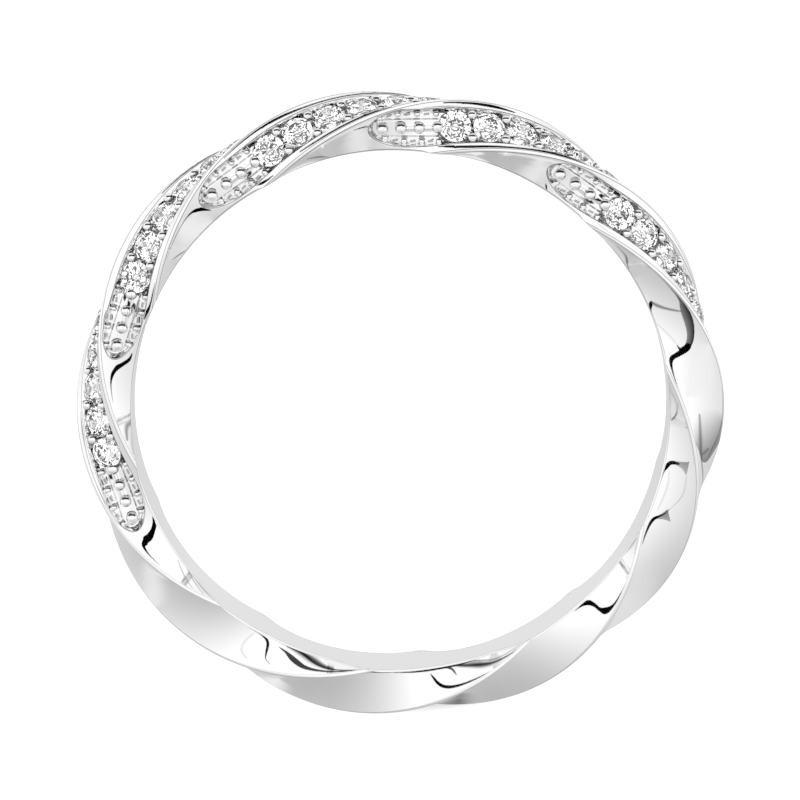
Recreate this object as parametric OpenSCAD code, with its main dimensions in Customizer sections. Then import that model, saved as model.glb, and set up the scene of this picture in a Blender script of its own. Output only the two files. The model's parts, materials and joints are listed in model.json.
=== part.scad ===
// Twisted eternity band: a square bar twisted round the finger, bored round inside,
// with bead-set channels of clear stones cut into half of its faces.
// The ring lies on its side: its axis is +Z and its lowest ridges touch z = 0.

/* [Band] */
// Inside diameter of the finger hole, mm
bore_d = 17.3; // [16.5:0.1:20]
// Thickness of the twisted bar from the finger hole to the outermost ridge, mm
bar_thick = 1.835; // [1.8:0.005:1.9]
// Width of the twisted bar across its ridges, along the finger, mm
bar_wide = 2.43; // [2.4:0.01:2.5]
// Rounding radius of the ridges, mm
ridge_round = 0.10; // [0.06:0.01:0.14]
// Angle from +X at which the first ridge is outermost, degrees
first_ridge = -1.5; // [-10:0.5:10]

/* [Stone channels] */
// Faces that carry stones, counted counterclockwise from the first one
channels = 5; // [1:1:5]
// Stones in one channel
stones_each = 10; // [6:1:10]
// Distance between stones, measured on the outside of the bar, mm
stone_pitch = 1.10; // [1.08:0.01:1.12]
// Shift of every channel along the bar, mm
channel_shift = -0.14; // [-0.2:0.01:0.2]
// Length of a channel from tip to tip, measured on the outside of the bar, mm
channel_len = 15.8; // [15.4:0.1:15.9]
// Width of a channel at its mouth, in a section of the bar, mm
channel_wide = 1.22; // [1.20:0.01:1.24]
// Width of a channel at its floor, in a section of the bar, mm
floor_wide = 0.90; // [0.88:0.01:0.92]
// Depth of a channel's floor below the face, mm
floor_deep = 0.22; // [0.20:0.01:0.24]
// Depth of the groove that the stones' points stand in, below the face, mm
groove_deep = 0.58; // [0.56:0.01:0.60]

/* [Stones] */
// Diameter of a stone, mm
stone_d = 1.00; // [0.90:0.01:1.02]
// Table diameter as a share of the stone's diameter
table_share = 0.56; // [0.50:0.01:0.62]
// Height of the crown above the girdle, mm
crown_h = 0.15; // [0.12:0.01:0.17]
// Depth of the pavilion below the girdle, mm
pavilion_h = 0.43; // [0.40:0.01:0.44]
// Depth of the girdle below the face, mm
girdle_deep = 0.10; // [0.08:0.01:0.12]

/* [Beads] */
// Diameter of the beads between the stones, mm
prong_d = 0.25; // [0.20:0.01:0.26]
// Distance of those beads from the middle of the channel, mm
prong_off = 0.385; // [0.38:0.005:0.40]
// Beads along each end of a channel
end_beads = 4; // [3:1:4]
// Diameter of the end beads, mm
end_bead_d = 0.31; // [0.26:0.01:0.34]
// Distance between end beads, measured on the outside of the bar, mm
end_bead_pitch = 0.565; // [0.55:0.005:0.58]
// Depth of the bead centres below the face, mm
bead_deep = 0.12; // [0.10:0.01:0.13]

/* [Hidden] */

// Quarter turns of the twist in one round of the ring, with one ridge crossing for each
quarter_turns = 10;

bore_r = bore_d / 2;
outer_r = bore_r + bar_thick;
half_wide = bar_wide / 2;
mid_r = outer_r - half_wide;
// A rounded ridge stands this much lower than the sharp corner of the square
corner_cut = (sqrt(2) - 1) * ridge_round;
// Half side of the square section, which is also its faces' distance from the bar's middle
face_h = (half_wide + corner_cut) / sqrt(2);
step_a = 360 / quarter_turns;
turn_rate = 90 / step_a;
face_r = mid_r + face_h;
deg_per_mm = 180 / (PI * face_r);

stations_per_quarter = 18;
stations = stations_per_quarter * quarter_turns;
station_a = 360 / stations;

pitch_a = stone_pitch * deg_per_mm;
shift_a = channel_shift * deg_per_mm;
channel_a = channel_len / 2 * deg_per_mm;
last_stone_a = pitch_a * (stones_each - 1) / 2;
end_pitch_a = end_bead_pitch * deg_per_mm;
// Gap between a stone and the first end bead
bead_gap = 0.045;
first_end_a = last_stone_a + (stone_d / 2 + end_bead_d / 2 + bead_gap) * deg_per_mm;
// The rounded tip of a channel begins this far before its end
tip_a = 7.5;
// Towards its tips a channel bends away from the finger hole, by this much at bend_full_a
bend_off = 0.26;
bend_start_a = 31;
bend_full_a = 41.5;
bend_power = 1.6;
// The groove under the stones rises to the floor between these two angles
groove_end_a = last_stone_a + 3.1;
groove_ramp_a = 1.5;
// The faceted inside stands this much outside the true cylinder of the lining
bore_ease = 0.01;
cut_r = bore_r + bore_ease;
// The true cylinder reaches this far to each side of the middle, and this deep into the bar
lining_half = 0.60;
lining_deep = 0.10;

// Place of the star points between the table's edge and the girdle
star_share = 0.55;

flat_mouth = channel_wide / 2;
flat_floor = floor_wide / 2;
silver = [0.86, 0.86, 0.87];
clear = [0.80, 0.84, 0.90];

function stone_name(c, s) = str("stone_", c, "_", s);

// Angle at which face number f looks straight outwards
function face_a(f) = first_ridge + step_a * (f + 0.5);
function clamp01(x) = max(0, min(1, x));
function mix(a, b, t) = a + (b - a) * t;

// Channel shape at angle a from the channel's middle: middle line, mouth, floor, two depths
function bend(a) =
    -sign(a) * bend_off * pow(max(0, abs(a) - bend_start_a) / (bend_full_a - bend_start_a), bend_power);
function taper(a) = sqrt(1 - pow(clamp01((abs(a) - channel_a + tip_a) / tip_a), 2));
// Past a tip the face is whole, and its points spread out again from the tip
function spread(a) = max(0.03, clamp01((abs(a) - channel_a) / tip_a));
function groove_share(a) = clamp01((groove_end_a - abs(a)) / groove_ramp_a);
function in_channel(f, a) = f < channels && abs(a) < channel_a;

// Face outline of face f at angle t from its outward place: [side, height] pairs, top side first
function face_points(f, t) =
    let (a = t - shift_a, cut = in_channel(f, a),
         w = cut ? taper(a) : spread(a),
         m = cut ? bend(a) : bend(sign(a) * channel_a) * (1 - spread(a)),
         d = cut ? floor_deep : 0, g = cut ? mix(floor_deep, groove_deep, groove_share(a)) : 0)
    [[m + w * flat_mouth, face_h], [m + w * flat_floor, face_h - d], [m, face_h - g],
     [m - w * flat_floor, face_h - d], [m - w * flat_mouth, face_h]];

// Rounded ridge that follows a face, in the frame of that face
function ridge_points() =
    let (c = face_h - ridge_round, q = ridge_round / sqrt(2))
    [[-c, face_h], [-c - q, c + q], [-face_h, c]];

// Turn a [side, height] point of a face whose normal stands at angle p into [out, along finger]
function turn(pt, p) = [pt[1] * cos(p) - pt[0] * sin(p), pt[1] * sin(p) + pt[0] * cos(p)];

// Section of the bar at angle theta, before the finger hole is cut
function square_section(theta) =
    [for (k = [0:3])
        let (p = turn_rate * (theta - face_a(0)) - 90 * k,
             lap = 4 * round((theta - face_a(k)) / (4 * step_a)),
             f = (k + lap + 2 * quarter_turns) % quarter_turns,
             t = theta - face_a(k + lap))
        for (pt = concat(face_points(f, t), ridge_points())) turn(pt, p)];

// Where the line from a to b crosses the finger hole
function crossing(a, b, lim) = mix(a, b, (a[0] - lim) / (a[0] - b[0]));

// Points inside the finger hole are spread along its wall, between the two true crossings
function bored_section(pts) =
    let (n = len(pts), lim = cut_r - mid_r,
         i0 = [for (i = [0:n - 1]) if (pts[i][0] < lim && pts[(i + n - 1) % n][0] >= lim) i][0],
         i1 = [for (i = [0:n - 1]) if (pts[i][0] < lim && pts[(i + 1) % n][0] >= lim) i][0],
         m = (i1 - i0 + n) % n,
         c0 = crossing(pts[(i0 + n - 1) % n], pts[i0], lim),
         c1 = crossing(pts[(i1 + 1) % n], pts[i1], lim))
    [for (i = [0:n - 1]) pts[i][0] >= lim ? pts[i] : mix(c0, c1, ((i - i0 + n) % n) / m)];

function placed(pt, theta) =
    [(mid_r + pt[0]) * cos(theta), (mid_r + pt[0]) * sin(theta), half_wide + pt[1]];

// The bar turns by a number of quarter turns, so its last section joins the first with this shift
module twisted_bar() {
    sections = [for (s = [0:stations - 1])
        let (theta = first_ridge + s * station_a) [for (pt = bored_section(square_section(theta))) placed(pt, theta)]];
    n = len(sections[0]);
    join_shift = (4 - quarter_turns % 4) % 4 * n / 4;
    points = [for (s = sections) for (pt = s) pt];
    faces = [for (s = [0:stations - 1], i = [0:n - 1])
        let (last = s == stations - 1, s2 = last ? 0 : s + 1, sh = last ? join_shift : 0,
             a = s * n + i, b = s * n + (i + 1) % n,
             c = s2 * n + (i + 1 + sh) % n, d = s2 * n + (i + sh) % n)
        for (tri = [[a, c, b], [a, d, c]]) tri];
    polyhedron(points = points, faces = faces, convexity = 10);
}

// The true cylinder of the finger hole
module lining() {
    translate([0, 0, half_wide])
        rotate_extrude($fn = 180)
            translate([bore_r, -lining_half]) square([lining_deep, 2 * lining_half]);
}

// Put something on the face of channel c, at angle t from the face's outward place:
// X points out of the face, Y along the row and Z across it, h from the bar's middle
module on_face(c, t, side, h) {
    slant = atan(turn_rate * h / (mid_r + h * cos(turn_rate * t)));
    rotate([0, 0, face_a(c - 1) + t])
        translate([mid_r, 0, half_wide])
            rotate([0, -turn_rate * t, 0])
                rotate([slant, 0, 0])
                    translate([h, 0, side])
                        children();
}

module bead(c, t, side, d) {
    on_face(c, t, side, face_h - bead_deep) sphere(d = d, $fn = 24);
}

module beads() {
    for (c = [1:channels]) {
        for (s = [1:stones_each - 1], side = [-1, 1])
            bead(c, shift_a + pitch_a * (s - stones_each / 2), side * prong_off, prong_d);
        for (e = [-1, 1], b = [0:end_beads - 1])
            let (a = e * (first_end_a + b * end_pitch_a))
            bead(c, shift_a + a, bend(a), end_bead_d);
    }
}

module band() {
    color(silver) union() {
        twisted_bar();
        lining();
        beads();
    }
}

// Round brilliant with its table up and its girdle edge at z = 0.
// The star points stand where the kite facets between table and girdle are flat.
module cut_stone() {
    girdle_r = stone_d / 2;
    table_r = girdle_r * table_share;
    star_r = mix(table_r, girdle_r, star_share);
    star_h = crown_h * (girdle_r - star_r * cos(22.5)) / (girdle_r - table_r);
    points = concat(
        [for (i = [0:7]) [table_r * cos(45 * i), table_r * sin(45 * i), crown_h]],
        [for (i = [0:7]) [star_r * cos(45 * i + 22.5), star_r * sin(45 * i + 22.5), star_h]],
        [for (i = [0:15]) [girdle_r * cos(22.5 * i), girdle_r * sin(22.5 * i), 0]],
        [[0, 0, -pavilion_h]]);
    function table(i) = i % 8;
    function star(i) = 8 + (i + 8) % 8;
    function girdle(i) = 16 + i % 16;
    culet = 32;
    stars = [for (i = [0:7]) [table(i + 1), star(i), table(i)]];
    kites = [for (i = [0:7]) [star(i), girdle(2 * i), star(i - 1), table(i)]];
    halves = [for (i = [0:7], e = [0, 1]) [girdle(2 * i + 1 + e), girdle(2 * i + e), star(i)]];
    pavilion = [for (i = [0:15]) [girdle(i), girdle(i + 1), culet]];
    polyhedron(
        points = points,
        faces = concat([[for (i = [7:-1:0]) table(i)]], stars, kites, halves, pavilion),
        convexity = 4);
}

module stone(c, s) {
    color(clear)
        on_face(c, shift_a + pitch_a * (s - (stones_each + 1) / 2), 0, face_h - girdle_deep)
            rotate([0, 90, 0]) cut_stone();
}

band();
for (c = [1:channels], s = [1:stones_each])
    stone(c, s);
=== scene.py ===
"""Looks of a twisted eternity band: polished silver, bead-set channels and clear round stones."""
import json
import math

import bmesh
import bpy
import numpy as np
from bpy.props import FloatProperty, FloatVectorProperty, PointerProperty
from mathutils import Matrix, Vector


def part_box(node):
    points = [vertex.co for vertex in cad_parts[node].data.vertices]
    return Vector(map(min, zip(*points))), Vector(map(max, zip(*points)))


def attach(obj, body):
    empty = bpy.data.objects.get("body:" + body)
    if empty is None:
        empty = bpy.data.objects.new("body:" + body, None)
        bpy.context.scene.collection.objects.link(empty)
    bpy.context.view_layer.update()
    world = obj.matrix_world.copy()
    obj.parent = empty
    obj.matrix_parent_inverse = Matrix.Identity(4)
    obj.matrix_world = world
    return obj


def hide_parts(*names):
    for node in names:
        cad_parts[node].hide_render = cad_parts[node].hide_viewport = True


bl_info = {
    "name": "Twisted eternity band",
    "version": (1, 0, 0),
    "blender": (4, 5, 0),
    "location": "3D View > Sidebar > Ring",
    "description": "Dresses the frame of a twisted ring with polished silver, beads and cut stones",
    "category": "Add Mesh",
}

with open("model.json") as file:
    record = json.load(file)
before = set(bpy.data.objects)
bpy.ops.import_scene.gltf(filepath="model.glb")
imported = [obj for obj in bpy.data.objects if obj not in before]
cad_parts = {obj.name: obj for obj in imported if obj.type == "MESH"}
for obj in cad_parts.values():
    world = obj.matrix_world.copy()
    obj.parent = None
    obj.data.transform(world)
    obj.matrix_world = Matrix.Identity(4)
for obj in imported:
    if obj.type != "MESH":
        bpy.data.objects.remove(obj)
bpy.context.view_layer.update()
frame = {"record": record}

MM = 0.001
FACES = 10
STEP = 2 * math.pi / FACES
TURN = math.pi / 2 / STEP
FIRST_RIDGE = math.radians(-1.5)
CHANNELS = 5
STONES_EACH = 10
END_BEADS = 4

hole_mount = next(m for m in frame["record"]["mounts"] if m["name"] == "finger_hole")
band_low, band_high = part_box("band")


def length(name, description, millimetres):
    """A size that a user may change, kept in metres."""
    return FloatProperty(name=name, description=description, default=millimetres * MM,
                         unit="LENGTH", subtype="DISTANCE", precision=5)


def angle(name, description, degrees):
    return FloatProperty(name=name, description=description, default=math.radians(degrees),
                         unit="ROTATION", subtype="ANGLE")


def share(name, description, default):
    return FloatProperty(name=name, description=description, default=default, min=0.0, max=1.0,
                         subtype="FACTOR")


def colour(name, description, default):
    return FloatVectorProperty(name=name, description=description, default=default, size=3,
                               min=0.0, max=1.0, subtype="COLOR")


def wrapped(angles):
    """Angles brought between minus and plus half a turn."""
    return np.mod(angles + math.pi, 2 * math.pi) - math.pi


def new_mesh(name, points, faces):
    mesh = bpy.data.meshes.new(name)
    mesh.from_pydata(points, [], faces)
    return mesh


def point_values(mesh, key, values):
    """Gives each point of a mesh a value that a finish can read."""
    mesh.attributes.new(key, "FLOAT", "POINT").data.foreach_set("value", values)


def new_object(name, data):
    thing = bpy.data.objects.new(name, data)
    bpy.context.scene.collection.objects.link(thing)
    return thing


def ball(radius, around, rings):
    """Points and faces of a ball."""
    work = bmesh.new()
    bmesh.ops.create_uvsphere(work, u_segments=around, v_segments=rings, radius=radius)
    points = [vertex.co.copy() for vertex in work.verts]
    faces = [[vertex.index for vertex in face.verts] for face in work.faces]
    work.free()
    return points, faces


class RingBar(bpy.types.PropertyGroup):
    """Sizes of the twisted bar."""
    hole_radius: length("Finger hole radius", "Radius of the finger hole", hole_mount["dims"]["r_mm"])
    width: length("Bar width", "Width across the ridges, along the finger",
                  (band_high.z - band_low.z) / MM)
    outer_radius: length("Outer radius", "Distance from the ring's axis to the outermost ridge",
                         band_high.x / math.cos(FIRST_RIDGE) / MM)
    ridge_radius: length("Ridge rounding", "Rounding radius of the ridges", 0.10)
    lip: length("Hole edge rounding", "How far the rounding of the hole's edge reaches", 0.07)


class RingChannel(bpy.types.PropertyGroup):
    """Sizes of the channels that hold the stones."""
    half_angle: angle("Half length", "Angle from a channel's middle to its tip", 44.6)
    tip_angle: angle("Tip length", "Angle over which a channel narrows to its tip", 7.5)
    shift: angle("Shift", "Angle by which each channel is shifted along the bar", -0.8)
    mouth: length("Mouth width", "Width of a channel at its mouth", 1.22)
    wall: length("Wall width", "Width over which a channel's wall falls to its floor", 0.16)
    floor: length("Floor depth", "Depth of the floor below the face", 0.22)
    groove: length("Groove depth", "Depth of the groove under the stones, below the face", 0.58)
    groove_width: length("Groove width", "Width of the groove under the stones", 0.90)
    bend: length("Bend", "How far a channel bends away from the finger hole near its tips", 0.26)
    ledge: length("Ledge width", "Width of the raised ledge under the end beads", 0.54)
    ledge_height: length("Ledge height", "Height of that ledge above the channel's floor", 0.10)


class RingStones(bpy.types.PropertyGroup):
    """Sizes and places of the stones."""
    diameter: length("Diameter", "Diameter of a stone", 1.0)
    pitch: angle("Pitch", "Angle between neighbouring stones", 6.2)
    table: share("Table", "Table diameter as a share of the stone's", 0.56)
    crown: length("Crown height", "Height of the crown above the girdle", 0.15)
    girdle: length("Girdle thickness", "Thickness of the girdle", 0.02)
    pavilion: length("Pavilion depth", "Depth of the pavilion below the girdle", 0.43)
    sunk: length("Seat depth", "Depth of the girdle below the face", 0.09)


class RingBeads(bpy.types.PropertyGroup):
    """Sizes and places of the beads."""
    prong: length("Prong bead diameter", "Diameter of the beads between stones", 0.32)
    prong_side: length("Prong bead offset", "Distance of those beads from the row's middle", 0.37)
    end: length("End bead diameter", "Diameter of the beads along a channel's ends", 0.38)
    flank: length("Flank bead diameter", "Diameter of the small beads beside the end beads", 0.20)
    flank_side: length("Flank bead offset", "Distance of the small beads from the row's middle", 0.43)
    first: angle("First end bead", "Angle of the first end bead from the channel's middle", 31.2)
    pitch: angle("End bead pitch", "Angle between neighbouring end beads", 3.4)
    sunk: length("Bead depth", "Depth of a bead's centre below the face", 0.10)
    flank_sunk: length("Flank bead depth", "Depth of a small bead's centre below the face", 0.19)
    pocket: length("Pocket length", "Length of the pockets between the small beads", 0.24)
    pocket_width: length("Pocket width", "Width of those pockets", 0.14)


class RingFinish(bpy.types.PropertyGroup):
    """Colours and polish."""
    silver: colour("Silver", "Colour of the polished silver", (0.93, 0.93, 0.935))
    polish: share("Polish roughness", "Roughness of the polished faces", 0.04)
    recess: share("Recess roughness", "Roughness of the channels' floors", 0.12)
    # The edge line is a painted dark reflection on both sides of each rounded edge; the pale line makes it
    # paler towards the picture's lower side
    line: share("Edge line", "Tone of the thin line on both sides of each rounded edge", 0.12)
    pale: share("Pale line", "Share of the lines' strength that is left at the picture's lower side", 0.30)
    # The ledge line is painted shade along the ledge's step
    painted_ledge_shade: share("Ledge line", "Tone of the thin line on the ledge's step", 0.65)
    # Painted shade on each bead, from its foot to near its top
    painted_bead_shade: share("Bead line", "Tone of each bead from its foot to near its top", 0.50)
    # The pocket tone is painted shade: the pockets' floors are a darker copy of the silver
    pocket: share("Pocket tone", "Tone of the floor of the pockets", 0.50)
    stone: colour("Stone", "Tint of the stones", (0.985, 0.98, 1.0))
    refraction: FloatProperty(name="Refraction", description="Refractive index of the stones",
                              default=2.16, min=1.3, max=2.8)


class RingStage(bpy.types.PropertyGroup):
    """Floor, light and camera."""
    floor: colour("Floor", "Colour of the floor", (0.90, 0.90, 0.90))
    sky: FloatProperty(name="Soft light", description="Strength of the light from all around",
                       default=1.1, min=0.0, max=10.0)
    fall: share("Light fall", "Share by which the light from below the picture is weaker", 0.52)
    under_fall: share("Light fall beneath", "Share by which the light from beneath is weaker", 0.27)
    stone_light: FloatProperty(name="Stone light", description="Light from above that only the stones show",
                               default=1.7, min=0.0, max=10.0)
    glow: FloatProperty(name="Floor glow", description="Light that the floor adds of its own",
                        default=0.55, min=0.0, max=10.0)
    # A painted contact shadow: the floor's colour and glow are darker just below the ring in the picture
    contact: share("Contact shade", "Share by which the floor is darker just below the picture's ring", 0.4)
    tilt: angle("Camera tilt", "Angle between the ring's axis and the camera", 15.19)
    distance: length("Camera distance", "Distance from the ring's middle to the camera", 103.7)
    lens: FloatProperty(name="Lens", description="Focal length in millimetres", default=144.0)
    shift: FloatVectorProperty(name="Frame shift", description="Camera shift in widths of the frame",
                               default=(-0.0005, 0.0116), size=2, precision=5)


# Where a channel starts to bend and how strongly, and where the groove under the stones ends
BEND_FROM = math.radians(31.0)
BEND_FULL = math.radians(41.5)
BEND_POWER = 1.6
GROOVE_END = math.radians(31.0)
GROOVE_RAMP = math.radians(1.5)
# Where the ledge under the end beads ends, and the width of its steps, in degrees and millimetres
LEDGE_END = math.radians(43.2)
LEDGE_RAMP = math.radians(1.0)
LEDGE_STEP = 0.05

PER_MM = 4.0
PER_RADIAN = 5.0
TINY = 1e-7


def lengths_along(line):
    """Distance along a line, from its start to each point. A third column is no place, and is left out."""
    return np.concatenate([[0.0], np.cumsum(np.linalg.norm(np.diff(line[:, :2], axis=0), axis=1))])


def at_distances(line, far, wanted):
    """Points of a line at wanted distances, where far is each given point's own."""
    return np.stack([np.interp(wanted, far, column) for column in line.T], axis=1)


def stretch(line, start, end):
    """The part of a line of points between two distances along it."""
    far = lengths_along(line)
    inner = line[(far > start + TINY) & (far < end - TINY)]
    ends = at_distances(line, far, [start, end])
    return np.vstack([ends[:1], inner, ends[1:]])


def spaced(line, count):
    """count + 1 points along a line, closest together where it bends."""
    line = line[np.concatenate([[True], np.diff(lengths_along(line)) > TINY])]
    if len(line) < 2:
        return np.repeat(line[:1], count + 1, axis=0)
    steps = np.diff(line[:, :2], axis=0)
    heading = np.unwrap(np.arctan2(steps[:, 1], steps[:, 0]))
    bends = np.concatenate([[0.0], np.abs(np.diff(heading)), [0.0]])
    weight = PER_MM * np.linalg.norm(steps, axis=1) + PER_RADIAN * (bends[:-1] + bends[1:]) / 2
    far = np.concatenate([[0.0], np.cumsum(weight)])
    return at_distances(line, far, np.linspace(0.0, far[-1], count + 1))


def ease(x):
    """0 to 1 over x from 0 to 1, level at both ends."""
    x = min(1.0, max(0.0, x))
    return x * x * (3 - 2 * x)


def slope(x, rounding=0.3):
    """0 to 1 over x from 0 to 1, as a straight slope with both corners rounded."""
    x = np.clip(x, 0.0, 1.0)
    top = 1 / (1 - rounding)
    low = top * x * x / (2 * rounding)
    high = 1 - top * (1 - x) ** 2 / (2 * rounding)
    return np.where(x < rounding, low, np.where(x > 1 - rounding, high, top * (x - rounding / 2)))


# How close to a face, in millimetres, a point counts as lying on it
FLAT_CLOSE = 1e-4


class Bar:
    """The twisted bar, in millimetres. A face's outline is a line of [side, height, edge] points.

    edge tells a finish how far a rounded edge has turned: 0 on a face, a half on a ridge, and 1 on the
    hole's wall. In a channel it is a half on the floor, and 1 on the ledge under the end beads.
    """

    FLAT_POINTS = 24
    ARC_POINTS = 10
    LIP_POINTS = 8
    LIP_EASE = math.radians(3.0)
    LIP_SHARE = 0.45
    LAND_SHARE = 0.85

    def __init__(self, ring):
        bar, channel = ring.ring_bar, ring.ring_channel
        self.half = bar.width / MM / 2
        self.mid = bar.outer_radius / MM - self.half
        self.lip = bar.lip / MM
        ridge = bar.ridge_radius / MM
        self.face = (self.half + (math.sqrt(2) - 1) * ridge) / math.sqrt(2)
        self.flat = self.face - ridge
        self.wall = bar.hole_radius / MM - self.mid
        # Angles past a face's outward place at which the finger hole begins and ends to cut it
        self.cut_from = (math.acos(self.wall / self.half) - math.pi / 4) / TURN
        self.cut_to = self.cut_from + STEP
        self.tip = channel.half_angle
        self.tip_long = channel.tip_angle
        self.shift = channel.shift
        self.mouth = channel.mouth / MM / 2
        self.wall_wide = channel.wall / MM
        self.floor = channel.floor / MM
        self.groove = channel.groove / MM
        self.groove_half = channel.groove_width / MM / 2
        self.bend_off = channel.bend / MM
        self.ledge_half, self.ledge_high = channel.ledge / MM / 2, channel.ledge_height / MM
        self.tip_mm = self.tip_long * (self.mid + self.face)
        flat = np.linspace(-self.flat, self.flat, self.FLAT_POINTS)
        turn = np.linspace(math.pi / 4, math.pi / 2, self.ARC_POINTS)[:-1]
        arc = np.column_stack([self.flat + ridge * np.cos(turn), self.flat + ridge * np.sin(turn),
                               1 - 2 * turn / math.pi])
        over = np.column_stack([flat, np.full_like(flat, self.face), np.zeros_like(flat)])
        self.outline = np.vstack([arc * [-1, 1, 1], over, arc[::-1]])
        # Distance along the outline at which side is zero
        self.centre = lengths_along(self.outline)[len(arc)] + self.flat

    @staticmethod
    def face_angle(face):
        """Angle at which a face looks straight outwards."""
        return FIRST_RIDGE + STEP * (face + 0.5)

    @staticmethod
    def section(turn, line):
        """[side, height, edge] points of a face as [out, up, edge] points of the bar's section."""
        side, height = line[:, 0], line[:, 1]
        return np.column_stack([height * math.cos(turn) - side * math.sin(turn),
                                height * math.sin(turn) + side * math.cos(turn), line[:, 2]])

    def place(self, theta, section):
        """[out, up, edge] points of the section at angle theta as [x, y, z, edge] points."""
        radius = self.mid + section[:, 0]
        return np.column_stack([radius * math.cos(theta), radius * math.sin(theta),
                                self.half + section[:, 1], section[:, 2]])

    def cut_outline(self, t, land_from=0.0):
        """A face's outline at angle t past its outward place, and the rounded edge at the finger hole.

        The edge is split between the face's outline and a line of the section on the hole's wall.
        The face stays flat as far as land_from, a distance along the outline.
        """
        turn = TURN * t
        if t <= self.cut_from + TINY:
            return self.outline, None
        if t >= self.cut_to - TINY:
            crest = np.repeat(self.outline[:1], 2, axis=0)
            return crest, self.section(turn, crest * [1, 1, 0] + [0, 0, 1])
        section = self.section(turn, self.outline)
        inside = int(np.argmax(section[:, 0] < self.wall))
        a, b = section[inside - 1, 0], section[inside, 0]
        k = (a - self.wall) / (a - b)
        corner = self.outline[inside - 1] * (1 - k) + self.outline[inside] * k
        line = np.vstack([self.outline[:inside], corner])
        whole = lengths_along(line)[-1]
        reach = min(self.lip * ease((t - self.cut_from) / self.LIP_EASE), self.LIP_SHARE * whole,
                    self.LAND_SHARE * max(0.0, whole - land_from))
        up = corner[0] * math.cos(turn) + corner[1] * math.sin(turn) - reach
        on_wall = np.array([up * math.cos(turn) - self.wall * math.sin(turn),
                            self.wall * math.cos(turn) + up * math.sin(turn), 1.0])
        line = stretch(line, 0.0, whole - reach)
        corner[2] = (line[-1, 2] + on_wall[2]) / 2
        u = np.linspace(0.0, 1.0, 2 * self.LIP_POINTS + 1)[:, None]
        edge = (1 - u) ** 2 * line[-1] + 2 * u * (1 - u) * corner + u ** 2 * on_wall
        half = self.LIP_POINTS
        return np.vstack([line, edge[1:half + 1]]), self.section(turn, edge[half:])

    def bend(self, a):
        """Side of a channel's middle line at angle a from its middle."""
        over = max(0.0, abs(a) - BEND_FROM) / (BEND_FULL - BEND_FROM)
        return -math.copysign(self.bend_off * over ** BEND_POWER, a)

    def narrowing(self, a):
        """0 before a channel's tip begins, and 1 at its end."""
        return min(1.0, max(0.0, (abs(a) - self.tip + self.tip_long) / self.tip_long))

    def half_mouth(self, a):
        return self.mouth * math.sqrt(1 - self.narrowing(a) ** 2)

    def depth(self, side, a):
        """Depth of a channel below the face, and its edge value."""
        along = self.narrowing(a)
        q = np.hypot(along, side / self.mouth)
        grow = np.hypot(along / self.tip_mm, side / self.mouth ** 2)
        inside = (1 - q) * q / np.maximum(grow, TINY)
        past = np.clip(inside / self.wall_wide, 0, 1)
        ends = slope((GROOVE_END - abs(a)) / GROOVE_RAMP)
        groove = slope(1 - np.abs(side) / self.groove_half) * ends
        ledge = slope((self.ledge_half - np.abs(side)) / LEDGE_STEP + 0.5) * past
        ledge = ledge * (1 - ends) * slope((LEDGE_END - abs(a)) / LEDGE_RAMP)
        deep = self.floor * slope(past) + (self.groove - self.floor) * groove - self.ledge_high * ledge
        return deep, (np.sqrt(past) + ledge) / 2

    def directions(self, face, t):
        """A face's outward and sideways directions at angle t, with those of the ring there."""
        theta, turn = self.face_angle(face) + t, TURN * t
        radial = Vector((math.cos(theta), math.sin(theta), 0))
        around = Vector((-math.sin(theta), math.cos(theta), 0))
        up = Vector((0, 0, 1))
        out = math.cos(turn) * radial + math.sin(turn) * up
        across = math.cos(turn) * up - math.sin(turn) * radial
        return out, across, self.mid * radial + self.half * up, around

    def seat(self, face, a, side, sunk):
        """Matrix, in metres, of a place on a face: X along the row, Y across it, Z out of the face."""
        out, across, middle, around = self.directions(face, a + self.shift)
        reach = self.mid + self.face * math.cos(TURN * (a + self.shift))
        row = (reach * around + TURN * self.face * across).normalized()
        place = middle + (self.face - sunk) * out + side * out.cross(row)
        basis = Matrix((row, out.cross(row), out)).transposed()
        return Matrix.Translation(place * MM) @ basis.to_4x4()

    def plain_normals(self, points):
        """Exact normals of the points, in millimetres, on the flat part of a plain face; zero elsewhere."""
        normals = np.zeros_like(points)
        theta = np.arctan2(points[:, 1], points[:, 0])
        radius, up = np.hypot(points[:, 0], points[:, 1]), points[:, 2] - self.half
        radial = np.column_stack([np.cos(theta), np.sin(theta), np.zeros_like(theta)])
        around = np.column_stack([-np.sin(theta), np.cos(theta), np.zeros_like(theta)])
        for face in range(CHANNELS, FACES):
            t = wrapped(theta - self.face_angle(face))
            cos, sin = np.cos(TURN * t), np.sin(TURN * t)
            height = (radius - self.mid) * cos + up * sin
            side = up * cos - (radius - self.mid) * sin
            here = (np.abs(height - self.face) < FLAT_CLOSE) & (np.abs(side) < self.flat + FLAT_CLOSE)
            here &= np.abs(t) < self.cut_to
            facing = (cos * radius)[:, None] * radial + (TURN * side)[:, None] * around
            facing[:, 2] += sin * radius
            normals[here] = facing[here] / np.linalg.norm(facing[here], axis=1)[:, None]
        return normals

    def mirrored(self, face, t, side, eye, far, deep=0.0):
        """The point, in metres, that eye sees at angle t and side of a face, or of a floor deep below it.

        far is its distance from there. It and eye are in metres too.
        """
        out, across, middle, around = self.directions(face, t)
        place = middle + out * (self.face - deep) + across * side
        facing = (out * math.hypot(place.x, place.y) + around * TURN * side).normalized()
        ray = (place * MM - eye).normalized()
        return place * MM + far * ray.reflect(facing)


# Places across the flat part of a strip, as shares from its inner side, so that its shading stays flat
FLAT_PLACES = np.array([0.0, 0.08, 0.36, 0.68, 1.0])
# Segments across a strip's rounded edge, its reach in millimetres, and its greatest share of the strip
ROUND_SEGMENTS, ROUND_REACH, ROUND_SHARE = 8, 0.092, 0.6
HOLE_SEGMENTS = 16
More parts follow.
